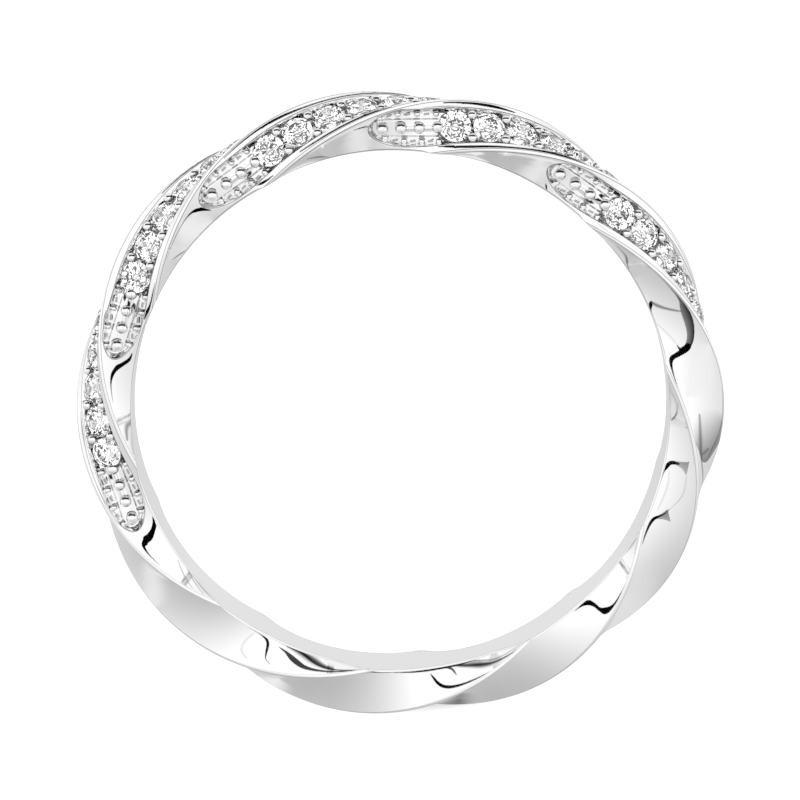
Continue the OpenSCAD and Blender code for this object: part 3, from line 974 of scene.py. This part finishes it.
# Dark marks that small cards close to the ring leave in its faces. A mark has its face, its kind, its
# darkness and the rows of its line: degrees past the face's outward place, then the side and half width
# in hundredths of a millimetre
MARKS = (
    (0, "solid", 1.0, (41.3, 40, 1), (41.8, 29, 2.5), (42.4, 16, 1)),
    (0, "soft", 0.5, (24, 76, 1), (27.5, 71, 2), (30, 64, 1)),
    (0, "soft", 1.0, (33.5, -66, 1), (36.5, -70, 3), (39, -76, 2.5), (42, -80, 2)),
    (0, "soft", 0.3, (3, -66, 3), (8, -68, 6), (15, -72, 5), (20, -76, 2)),
    (1, "solid", 1.0, (2, 76, 4), (4, 74, 8), (6.5, 73, 10), (9, 74, 9), (12, 76, 7), (15, 76.5, 6),
     (18, 76, 6), (22, 75, 6), (25, 72, 5), (28, 66, 4), (30, 61, 2)),
    (1, "solid", 1.0, (17, -68, 2), (21.5, -73, 6), (25, -75, 5), (30, -77.5, 3)),
    (1, "solid", 0.7, (20, -60, 0.5), (26, -61, 2), (30, -64, 2), (33.5, -67, 0.5)),
    (1, "solid", 0.9, (34.5, -66, 0.5), (36.5, -72, 1.5), (38.5, -79, 3), (42, -80, 2)),
    (1, "solid", 1.0, (43, -50, 1), (44.7, -60, 2), (46.5, -65, 1)),
    (1, "soft", 0.7, (52.2, 0, 2), (54.3, -28, 6), (56.8, -55, 3)),
    (2, "solid", 1.0, (3, 77, 5), (5, 75, 8), (7, 74, 10), (9, 75, 8), (12, 76, 7), (15, 76, 6),
     (18, 74.5, 4.5), (21.5, 71, 2)),
    (2, "solid", 1.0, (28.2, 76, 1.5), (29.8, 72, 3.5), (31, 67, 4.5), (32.6, 56, 2)),
    (2, "solid", 0.9, (-2, -60, 3), (1, -65, 8), (3.5, -67, 6), (6, -67, 5), (10, -66.5, 3.5),
     (16, -66.5, 3.5), (20, -68, 3), (25, -71, 2)),
    (2, "solid", 1.0, (18, -67, 2), (23, -73, 4.5), (27, -76, 4.5), (31, -77.5, 3.5), (35, -79, 2)),
    (2, "solid", 1.0, (43.2, -3, 1), (44, -24, 4.5), (44.8, -41, 6), (46, -56, 3), (48, -65, 1.5),
     (52, -72, 1), (56.5, -76, 0.5)),
    (2, "soft", 0.7, (52.5, 3, 2), (54.2, -20, 5), (56, -46, 2)),
    (3, "solid", 1.0, (25.5, 79, 1), (28, 77, 3), (30, 74, 3.5), (31.5, 68, 5), (32.6, 62, 6),
     (34, 57, 2)),
    (3, "solid", 1.0, (-1.5, -63, 4), (1, -69, 11), (3, -70, 9), (6, -69, 6), (9, -69, 4), (12.5, -70, 2)),
    (3, "solid", 1.0, (34.8, -68, 1), (36, -71, 3), (38, -74, 2.5), (41, -78, 1)),
    (3, "solid", 1.0, (41.8, 24, 1), (43.4, 11, 5), (44.5, -11, 6), (45.5, -34, 7), (46.8, -51, 5),
     (48.8, -62, 2), (52.2, -69, 0.5)),
    (3, "soft", 0.65, (55.8, 5, 10), (57, -20, 16), (57.8, -45, 16), (60.5, -68, 8)),
    (3, "soft", 0.35, (57.5, -5, 20), (60.5, -35, 25), (64, -68, 15)),
    (4, "soft", 0.5, (2, 70, 3), (6, 71, 9), (9.5, 68, 6), (13, 64, 2)),
    (4, "soft", 0.9, (19.5, -64, 1), (23, -65, 4), (26, -67, 2), (32, -71, 1.5), (38, -75, 3),
     (41, -78, 1)),
    (4, "solid", 1.0, (42.1, 34, 1), (43.8, 22, 6), (45, 3, 7), (45.9, -20, 11), (46.3, -40, 12),
     (46.9, -58, 5), (48.8, -66, 2), (52, -70, 0.5)),
    (4, "soft", 0.5, (56, 5, 10), (59, -20, 20), (62.5, -50, 20), (66, -75, 12)),
    (4, "soft", 0.5, (53.3, -10, 2), (56.7, -45, 4), (60, -75, 2)),
    (4, "soft", 0.5, (55.4, -5, 2), (58.3, -35, 4), (62.5, -75, 2)),
    (5, "solid", 1.0, (38.5, 46, 0.5), (41, 38, 2), (43.3, 23, 3.5), (44.2, 8, 4.5), (44.6, -12, 4),
     (44.9, -30, 2.5), (45.3, -45, 1), (46.5, -58, 0.5)),
    (5, "soft", 0.2, (40.4, 30, 4), (39.8, -5, 6), (40.2, -38, 6), (42, -60, 4)),
    (5, "soft", 0.95, (48, 15, 4), (50.5, 5, 14), (52.5, -8, 19), (54.5, -25, 20), (57, -48, 13),
     (59.5, -64, 5)),
    (5, "soft", 1.0, (44, 35, 1), (47.5, 21, 3.5), (49.5, 11, 5), (51.5, -1, 6), (53, -14, 7),
     (54.5, -31, 6), (56, -45, 5), (58, -58, 4.5), (61, -69, 4.5), (64, -78, 4), (66.5, -86, 2)),
    (5, "solid", 0.95, (46.7, 5, 1), (48.5, -8, 4), (50, -24, 8), (51.5, -39, 8.5), (53, -52, 7),
     (55, -61, 5), (57.5, -68, 3.5), (60, -73, 3), (63, -78, 3), (66.5, -86, 2)),
    (6, "solid", 0.9, (29, 80, 1), (32, 75, 2.5), (36, 62, 3), (40, 50, 3), (43.5, 38, 4), (46, 24, 3.5),
     (47.6, 12, 3.5), (48.6, -1, 3.5), (49.1, -16, 2.5), (49.3, -27, 1)),
    (6, "soft", 1.0, (43.5, 39, 3), (46, 28, 6), (48.5, 14, 7), (50.5, -1, 9), (52.5, -16, 12),
     (54.5, -32, 14), (56, -44, 12), (57.5, -55, 8), (60, -67, 6), (63.5, -80, 3)),
    (6, "solid", 1.0, (36, 56, 1), (38, 48, 3), (40, 40, 4.5), (42, 33, 5), (44, 26, 5), (46, 20, 5),
     (48, 13, 5), (50, 6, 4.5), (52, -1, 3), (54, -8, 1)),
    (6, "soft", 0.4, (52, 5, 8), (53.5, -15, 18), (55, -38, 18), (57, -60, 8)),
    (6, "soft", 0.6, (47, 24, 2), (50, 12, 4), (53, -4, 5), (55.5, -25, 5), (57.5, -43, 5), (59.5, -54, 4),
     (62, -63, 3), (65, -76, 2)),
    (6, "solid", 1.0, (43.9, 12, 1), (44.5, -5, 3.5), (45.2, -25, 4.5), (46.2, -42, 5), (47.6, -54, 5),
     (49.5, -62, 4), (52, -69, 3), (54.5, -74, 2), (56.5, -78, 0.5)),
    (7, "solid", 1.0, (42, 32, 1), (44.3, 22, 5), (45.7, 7, 8), (46.3, -16, 6), (46.5, -36, 6),
     (47.2, -56, 10), (49.3, -71, 4), (53, -78, 2), (57.2, -82, 0.5)),
    (7, "soft", 0.55, (56.5, 5, 4), (59, -20, 12), (61.5, -45, 14), (64, -68, 8)),
    (7, "soft", 0.5, (13.4, 80, 5), (13, 60, 45), (12, 20, 80), (11, -20, 100), (10.5, -60, 100),
     (10.5, -88, 70), (10.5, -100, 5)),
    (7, "soft", 0.35, (12.7, 15, 5), (12.5, -5, 25), (12.3, -40, 38), (12.3, -75, 35), (12.3, -95, 5)),
    (8, "solid", 1.0, (27, 75, 0.5), (29, 71, 2.5), (31, 64, 4), (32.4, 55, 5), (33.2, 45, 4.5),
     (33.9, 30, 2.5), (34.7, 15, 1.5), (36, 0, 0.5)),
    (8, "fading", 0.75, (34.6, 0, 20), (34, 20, 10), (33.2, 44, 4)),
    (8, "soft", 0.25, (36, 0, 2), (37.8, -22, 3.5), (40, -39, 3.5), (43.5, -48, 3)),
    (8, "soft", 0.2, (34.8, 42, 3), (37.5, 28, 5), (40.5, 15, 5), (43.5, 10, 3)),
    (8, "solid", 1.0, (39.5, 50, 1), (41.5, 41, 1.5), (43, 31, 3), (44.3, 19, 6), (45.2, 7, 6),
     (45.5, -8, 6), (45.5, -25, 3)),
    (8, "fading", 0.65, (45.1, -54, 25), (45.4, -35, 12), (45.5, -12, 6)),
    (8, "soft", 0.8, (54.3, -12, 3), (55.2, -30, 5), (56.5, -48, 4), (58.5, -62, 2)),
    (8, "soft", 0.35, (54, 2, 4), (57, -12, 12), (61, -34, 18), (64.5, -62, 10)),
    (8, "soft", 0.5, (46, -77, 1), (51, -79, 2), (57, -79, 1)),
    (9, "solid", 1.0, (24, 79, 0.5), (27, 77, 1.5), (29.5, 71, 2.5), (31.3, 63, 5), (32.2, 52, 7.5),
     (32.5, 38, 8), (32.8, 20, 9), (33.2, 4, 11), (33.6, -10, 10), (34.1, -20, 7)),
    (9, "solid", 1.0, (34.6, 18, 1), (33.9, 17, 3), (33.2, 12, 8)),
    (9, "fading", 1.0, (33.8, -12, 9), (34.6, -25, 10), (36, -39, 11), (38, -52, 13.5), (40, -61, 14),
     (41.5, -67, 11), (43, -74, 6), (45.5, -77, 3), (50, -79, 1)),
    (9, "soft", 0.6, (4.5, -12, 4), (6, 8, 7), (8, 32, 9), (10, 47, 10), (12, 52, 14), (14.5, 48, 18),
     (17, 40, 12), (20, 30, 6)),
    (9, "ramp", 0.66, (14.8, 80, 5), (15, 60, 60), (15.2, 20, 85), (16, -20, 80), (17.2, -60, 55),
     (17.6, -85, 5)),
    (9, "soft", 0.5, (10, 0, 3), (11.5, -15, 5), (12.3, -32, 7), (13.5, -50, 7), (15, -64, 5),
     (18, -75, 4), (24, -80, 4)),
    (9, "soft", 0.4, (12, 45, 6), (12.2, 25, 12), (12.4, 5, 10), (12.6, -10, 5)),
    (9, "soft", 0.25, (34.8, 18, 3), (37.5, 27, 4), (40.8, 43, 3)),
    (9, "solid", 1.0, (41, 47, 1), (42.5, 39, 2.5), (43.6, 28, 5.5), (44.3, 18, 6), (44.9, 10, 1.5)),
    (9, "soft", 0.8, (44.8, 12, 5), (43.8, 5, 10), (42.9, -7, 9), (42.1, -22, 7), (41.4, -38, 6),
     (40.8, -54, 3)),
    (9, "soft", 0.8, (52.5, 2, 2), (54, -15, 4), (55, -32, 6), (56.3, -48, 5), (59, -62, 2)),
)
OUTER_EDGE = ((54.4, 25, 25), (56.2, -2, 25), (57.9, -21, 25), (60.1, -35, 25), (62.6, -45, 25),
              (65.6, -55, 25))
# Lighter marks behind those. Instead of a darkness, a veil has its tone, and a glow its strength
VEILS = (
    (0, "veil", 0.53, (52.8, 15, 25), (52.7, -25, 26), (52.5, -62, 26)),
    (0, "veil", 0.95, *OUTER_EDGE),
    (0, "glow", 0.9, (41, -66, 6), (45, -70, 12), (49, -73, 10), (54, -77, 8)),
    (1, "veil", 0.58, (51.3, 15, 26), (52, -25, 29), (52.7, -62, 29)),
    (1, "veil", 0.85, *OUTER_EDGE),
    (1, "glow", 0.7, (41, -66, 6), (45, -70, 12), (49, -73, 10), (56, -77, 8)),
    (2, "veil", 0.78, (53.4, 10, 25), (54, -30, 28), (54.7, -72, 28)),
    (2, "veil", 0.7, (56.5, 2, 20), (58.5, -20, 30), (61, -42, 32), (65, -68, 25)),
    (0, "glow", 0.7, (43.5, 50, 5), (44.5, 30, 35), (45.5, 0, 60), (45.5, -35, 60), (46, -75, 10)),
    (1, "glow", 0.7, (43.5, 50, 5), (44.5, 30, 35), (46, 0, 70), (46, -35, 70), (46, -75, 10)),
    (2, "glow", 0.9, (43.5, 50, 5), (45.5, 30, 50), (48, 0, 95), (49, -35, 100), (49, -75, 20)),
    (5, "glow", 0.7, (14, 90, 5), (15, 70, 40), (17.5, 20, 60), (20, -30, 60), (22, -75, 40),
     (23, -90, 5)),
    (5, "veil", 1.0, (56.5, -6, 12), (58.5, -28, 20), (61.5, -47, 20), (65, -64, 14)),
    (6, "glow", 0.9, (13.5, 35, 5), (13.2, 5, 50), (13.2, -40, 70), (13.2, -80, 60), (13.2, -95, 5)),
    (6, "veil", 0.78, (57.2, -30, 20), (58.2, -55, 24), (58.6, -76, 20)),
    (8, "glow", 0.55, (14, 95, 10), (14, 65, 140), (14, 20, 180), (14, -30, 180), (14, -75, 130),
     (14, -95, 10)),
    (8, "veil", 0.77, (54.6, 2, 20), (54.6, -35, 22), (54.6, -74, 20)),
    (9, "glow", 0.8, (24, 60, 5), (25.5, 25, 60), (28.5, -15, 75), (31.5, -55, 60), (33, -85, 5)),
    (9, "veil", 0.62, (52.1, 15, 26), (52.5, -27, 28), (52.8, -66, 28)),
    (9, "veil", 0.77, *OUTER_EDGE),
)
# Dark hooks in the ledge between the first end beads: a face and rows
HOOKS = (
    (0, (35.3, 18, 2), (33.4, 17, 5), (32.5, 8, 9), (32.1, -8, 8), (32, -22, 7), (31, -30, 3)),
    (2, (35, 21, 2), (33.6, 24, 5), (32.4, 16, 6), (32.1, 4, 3)),
    (3, (29.6, -33, 2), (31, -26, 6), (32, -10, 9), (32.1, 8, 8), (32.9, 23, 6), (35, 22, 2)),
    (4, (31.3, -30, 2), (32, -19, 8), (32, -4, 2)),
)
# How strong a mark is from one side of it, at -1, to the other, at 1
KINDS = {
    "solid": lambda q: np.ones_like(q),
    "fading": lambda q: 0.85 - 0.15 * q,
    "ramp": lambda q: 0.5 - 0.5 * q,
    "soft": lambda q: (1 - q * q) ** 2,
    "glow": lambda q: (1 - q * q) ** 2,
    "veil": lambda q: 1 - q ** 4,
}
GLOW_TONE = 0.95
CARD_FAR, VEIL_FAR, HOOK_FAR = 0.0008, 0.001, 0.0002
CARD_STEPS = 6
CARD_ACROSS = np.linspace(-1, 1, 9)
# What a row is divided by to be in degrees and millimetres
MARK_UNITS = (1, 100, 100)
RAYS = ("camera", "diffuse", "glossy", "transmission", "shadow")


def stage_mesh(name, points, faces, material, *seen_by):
    """A stage object that only some kinds of rays meet."""
    mesh = new_mesh(name, points, faces)
    mesh.materials.append(material)
    thing = new_object(name, mesh)
    for ray in RAYS:
        setattr(thing, f"visible_{ray}", ray in seen_by)
    return thing


SENSOR_MM = 36.0
CLIP = (0.005, 10.0)


def add_camera(stage, centre):
    """A camera at the photograph's angle to the ring's axis."""
    lens = bpy.data.cameras.new("view")
    lens.lens, lens.sensor_width = stage.lens, SENSOR_MM
    lens.shift_x, lens.shift_y = stage.shift
    lens.clip_start, lens.clip_end = CLIP
    camera = new_object("view", lens)
    camera.location = centre + stage.distance * Vector((0, math.sin(stage.tilt), math.cos(stage.tilt)))
    camera.rotation_euler = (-stage.tilt, 0, 0)
    bpy.context.scene.camera = camera


def add_sky(stage):
    """Soft light from all around, weaker from the side below the picture."""
    world = bpy.data.worlds.new("soft_light")
    bpy.context.scene.world = world
    recipe = Recipe(world)
    front, under = 0.0 - recipe.along(1, GENERATED), 0.0 - recipe.along(2, GENERATED)
    front, under = front.maths("MAXIMUM", front, 0.0), under.maths("MAXIMUM", under, 0.0)
    strength = stage.sky * (1.0 - stage.fall * front) * (1.0 - stage.under_fall * under)
    sky = recipe.add("ShaderNodeBackground", sockets={"Color": shaded(WHITE), "Strength": strength})
    recipe.add("ShaderNodeOutputWorld", sockets={"Surface": sky})


# The painted contact shadow under the ring's lower side in the picture: it fades out between two distances
# from the ring's axis, and begins at a third below the middle. All in metres
CONTACT_FROM, CONTACT_TO, CONTACT_SIDE = 0.0106, 0.0112, 0.0088


def add_floor(stage):
    """White paper under the ring, with a painted contact shadow on the picture's lower side, where its colour
    and glow are darker.
    """
    paper = bpy.data.materials.new("white_paper")
    recipe = Recipe(paper)
    tone = recipe.mix(recipe.noise(FLOOR_PATCHES), shaded(stage.floor, FLOOR_SHADE), shaded(stage.floor))
    flat = recipe.add("ShaderNodeVectorMath", {"operation": "MULTIPLY"}, {0: recipe.here(), 1: (1, 1, 0)})
    far = recipe.add("ShaderNodeVectorMath", {"operation": "LENGTH"}, {0: flat}, output=1)
    below = 0.0 - recipe.along(1)
    near = recipe.add("ShaderNodeMapRange", {"interpolation_type": "SMOOTHSTEP"}, {
        "Value": far, "From Min": CONTACT_FROM, "From Max": CONTACT_TO, "To Min": 1.0, "To Max": 0.0})
    under = recipe.add("ShaderNodeMapRange", {"interpolation_type": "SMOOTHSTEP"}, {
        "Value": below, "From Min": CONTACT_SIDE, "From Max": CONTACT_FROM})
    # Painted contact shadow: the floor's colour and glow turn darker near the ring's lower side
    tone = recipe.mix(stage.contact * near * under, tone, shaded(BLACK))
    recipe.surface(recipe.add("ShaderNodeBsdfPrincipled", sockets={
        "Base Color": tone, "Roughness": 0.9, "Emission Color": tone, "Emission Strength": stage.glow}))
    half = FLOOR_SIZE / 2
    corners = [(x, y, -FLOOR_GAP) for x, y in ((-half, -half), (half, -half), (half, half), (-half, half))]
    stage_mesh("floor", corners, [(0, 1, 2, 3)], paper, "camera", "diffuse", "transmission", "shadow")


def curve_through(rows):
    """The rows of a mark's line in degrees and millimetres, with more between them on a smooth curve."""
    rows = np.array(rows) / MARK_UNITS
    ahead = np.gradient(rows, axis=0)
    u = np.linspace(0, 1, CARD_STEPS, endpoint=False)[:, None]
    pieces = [(1 + 2 * u) * (1 - u) ** 2 * a + u * (1 - u) ** 2 * from_a
              + u * u * (3 - 2 * u) * b - u * u * (1 - u) * to_b
              for a, b, from_a, to_b in zip(rows, rows[1:], ahead, ahead[1:])]
    return np.vstack([*pieces, rows[-1:]])


def card_material(name):
    """Shines in the mesh's tone where it is fully shaded, and is clear where it is not."""
    material = bpy.data.materials.new(name)
    recipe = Recipe(material)
    sockets = {0: recipe.attribute("shade"), 1: recipe.add("ShaderNodeBsdfTransparent"),
               2: recipe.light(recipe.attribute("tone"))}
    recipe.surface(recipe.add("ShaderNodeMixShader", sockets=sockets))
    return material


def card_mesh(name, points, faces, shades, tones, ray):
    """Cards that one kind of rays meets, with each point's shade and tone."""
    mesh = stage_mesh(name, points, faces, card_material(name), ray).data
    point_values(mesh, "shade", shades)
    point_values(mesh, "tone", tones)


class Cards:
    """Small cards close to the ring, each placed where eye sees it in the metal at its mark's place."""

    def __init__(self, eye):
        self.eye = eye
        self.points, self.faces, self.shades, self.tones = [], [], [], []

    def grid(self, rows, shades, tone=0.0):
        """Adds rows of points as a card, with the shades of a row's points."""
        start, wide = len(self.points), len(rows[0])
        for row in rows:
            self.points += row
            self.shades += list(shades)
            self.tones += [tone] * wide
        for a in range(start, start + (len(rows) - 1) * wide, wide):
            self.faces += [(a + k, a + k + 1, a + k + 1 + wide, a + k + wide) for k in range(wide - 1)]

    def mark(self, bar, face, kind, strength, *rows, far=CARD_FAR, deep=0.0):
        """Adds a card whose reflection runs along the rows of a mark."""
        tone = 0.0
        if kind == "veil":
            tone, strength = strength, 1.0
        elif kind == "glow":
            tone = GLOW_TONE
        line = curve_through(rows)
        degree = math.radians(1) * bar.mid
        heading = np.gradient(line[:, :2] * [degree, 1], axis=0)
        heading /= np.linalg.norm(heading, axis=1)[:, None]
        grid = []
        for (t, side, half), (ahead, aside) in zip(line, heading):
            places = [(math.radians(t - q * aside / degree), side + q * ahead) for q in half * CARD_ACROSS]
            grid.append([bar.mirrored(face, *place, self.eye, far, deep) for place in places])
        self.grid(grid, strength * KINDS[kind](CARD_ACROSS), tone)

    def visor(self, middle, radius, above):
        """Adds a card over a bead, whose dark bar shows above the bead's middle by a share of its radius."""
        view = (self.eye - middle).normalized()
        up = view.cross(Vector((1, 0, 0))).normalized()
        right = up.cross(view)
        grid = []
        for u in VISOR_HALF_LONG * VISOR_ACROSS:
            row = []
            for v in above - VISOR_ARCH * u * u + VISOR_HALF_HIGH * VISOR_ACROSS:
                facing = right * u + up * v + view * math.sqrt(1 - u * u - v * v)
                place = middle + radius * facing
                row.append(place + VISOR_FAR * (place - self.eye).normalized().reflect(facing))
            grid.append(row)
        self.grid(grid, VISOR_SHADES)


# A bead's dark bar, as shares of the bead's radius, and the distance of its card in metres
VISOR_HALF_LONG, VISOR_HALF_HIGH, VISOR_ARCH = 0.60, 0.20, 0.35
VISOR_FAR = 0.00005
VISOR_ACROSS = np.linspace(-1, 1, 7)
VISOR_SHADES = 1 - VISOR_ACROSS ** 4


def add_cards(scene, eye):
    """The marks, veils and hooks, and a dark bar over each bead."""
    bar, beads, cards = Bar(scene), scene.ring_beads, Cards(eye)
    for mark in MARKS:
        cards.mark(bar, *mark)
    for mark in VEILS:
        cards.mark(bar, *mark, far=VEIL_FAR)
    for face, *rows in HOOKS:
        cards.mark(bar, face, "solid", 1.0, *rows, far=HOOK_FAR, deep=bar.floor - bar.ledge_high)
    for seats, (kind, _, _, above) in zip(bead_seats(scene), BEADS):
        for seat in seats:
            cards.visor(seat.translation, getattr(beads, kind) / 2, above)
    card_mesh("mark_cards", cards.points, cards.faces, cards.shades, cards.tones, "glossy")


# Dark discs under a bright dome: azimuth, tilt and half width in degrees
DISCS = ((90, 15, 13), (0, 38, 7), (60, 42, 7), (120, 42, 7), (180, 38, 7), (240, 30, 7), (300, 30, 7),
         (30, 62, 6), (90, 66, 6), (150, 62, 6), (210, 58, 6), (270, 55, 6), (330, 58, 6))
DISC_FAR, DOME_FAR = 0.4, 0.45
DISC_SIDES = 24
DOME_PATCHES, DOME_SHADE = 4.0, 0.97


def add_stone_light(stage, centre):
    """A bright dome with dark discs under it, which only the stones show."""
    dome = bpy.data.materials.new("dome_light")
    recipe = Recipe(dome)
    tone = recipe.mix(recipe.noise(DOME_PATCHES), shaded(WHITE, DOME_SHADE), shaded(WHITE))
    recipe.surface(recipe.light(tone, stage.stone_light))
    points, faces = ball(DOME_FAR, 32, 16)
    stage_mesh("dome_light", [point + centre for point in points], faces, dome, "transmission")
    points, faces = [], []
    for turn, tilt, half in np.radians(DISCS):
        spin = Matrix.Rotation(turn, 4, "Z") @ Matrix.Rotation(tilt, 4, "Y")
        faces.append(tuple(range(len(points), len(points) + DISC_SIDES)))
        for k in range(DISC_SIDES):
            a = 2 * math.pi * k / DISC_SIDES
            rim = Vector((math.tan(half) * math.cos(a), math.tan(half) * math.sin(a), 1.0))
            points.append(centre + DISC_FAR * (spin @ rim))
    card_mesh("dark_discs", points, faces, [1.0] * len(points), [0.0] * len(points), "transmission")


class RING_OT_stage(bpy.types.Operator):
    """Adds the floor, the light and the camera"""
    bl_idname = "ring.stage"
    bl_label = "Stage"

    def execute(self, context):
        scene, stage = context.scene, context.scene.ring_stage
        centre = Vector((0, 0, scene.ring_bar.width / 2))
        add_camera(stage, centre)
        add_sky(stage)
        add_floor(stage)
        add_cards(scene, scene.camera.location)
        add_stone_light(stage, centre)
        scene.view_settings.view_transform = "Standard"
        return {"FINISHED"}


class RING_PT_panel(bpy.types.Panel):
    """Lists the ring's pieces and sizes"""
    bl_idname = "RING_PT_panel"
    bl_label = "Twisted eternity band"
    bl_space_type = "VIEW_3D"
    bl_region_type = "UI"
    bl_category = "Ring"

    def draw(self, context):
        for operator in OPERATORS:
            self.layout.operator(operator.bl_idname)
        for name, group in GROUPS.items():
            box = self.layout.box()
            box.label(text=group.__doc__)
            for key in group.__annotations__:
                box.prop(getattr(context.scene, name), key)


GROUPS = {
    "ring_bar": RingBar,
    "ring_channel": RingChannel,
    "ring_stones": RingStones,
    "ring_beads": RingBeads,
    "ring_finish": RingFinish,
    "ring_stage": RingStage,
}
OPERATORS = (RING_OT_band, RING_OT_beads, RING_OT_stones, RING_OT_stage)


def register():
    for group in (*GROUPS.values(), *OPERATORS, RING_PT_panel):
        bpy.utils.register_class(group)
    for name, group in GROUPS.items():
        setattr(bpy.types.Scene, name, PointerProperty(type=group))


def unregister():
    for name in GROUPS:
        delattr(bpy.types.Scene, name)
    for group in (RING_PT_panel, *OPERATORS, *GROUPS.values()):
        bpy.utils.unregister_class(group)


def main():
    register()
    bpy.ops.ring.band()
    bpy.ops.ring.beads()
    bpy.ops.ring.stones()
    bpy.ops.ring.stage()


if __name__ == "__main__":
    main()
